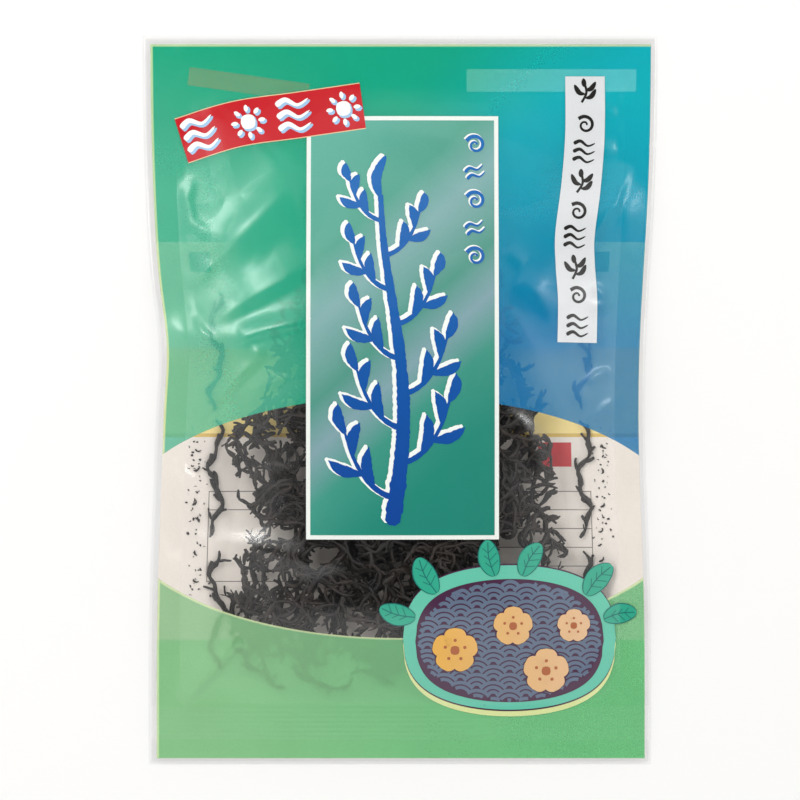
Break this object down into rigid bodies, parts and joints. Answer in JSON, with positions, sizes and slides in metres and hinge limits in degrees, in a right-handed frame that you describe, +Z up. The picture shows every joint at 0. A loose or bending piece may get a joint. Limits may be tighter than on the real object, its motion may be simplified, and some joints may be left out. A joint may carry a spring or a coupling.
{
  "type": "packet of long hijiki",
  "caption": "Sealed clear film packet with a green and blue print, holding a curly heap of dried long hijiki seen through an oval window; lies flat on its back.",
  "frame": {"origin": "on the surface under the packet, below the centre of its box", "axes": "+Z up through the printed front, +Y towards the packet's top edge, +X to its right"},
  "size_m": [0.1698, 0.24, 0.0197],
  "materials": {
    "front_film": "glossy clear film printed green and blue, with a clear window",
    "back_film": "glossy clear film printed cream, green and blue",
    "hijiki": "dull near-black dried seaweed"
  },
  "bodies": {
    "root": {"front_film": "front_film", "back_film": "back_film", "hijiki_bunch_1": "hijiki", "hijiki_bunch_2": "hijiki", "hijiki_bunch_3": "hijiki", "hijiki_bunch_4": "hijiki", "hijiki_bunch_5": "hijiki", "hijiki_strand_left_1": "hijiki", "hijiki_strand_left_2": "hijiki", "hijiki_strand_left_3": "hijiki", "hijiki_strand_right_1": "hijiki", "hijiki_strand_right_2": "hijiki", "hijiki_strand_right_3": "hijiki", "hijiki_crumb_left_1": "hijiki", "hijiki_crumb_left_2": "hijiki", "hijiki_crumb_left_3": "hijiki", "hijiki_crumb_left_4": "hijiki", "hijiki_crumb_left_5": "hijiki", "hijiki_crumb_left_6": "hijiki", "hijiki_crumb_right_1": "hijiki", "hijiki_crumb_right_2": "hijiki", "hijiki_crumb_right_3": "hijiki", "hijiki_crumb_right_4": "hijiki", "hijiki_crumb_right_5": "hijiki", "hijiki_crumb_right_6": "hijiki"}
  },
  "joints": []
}
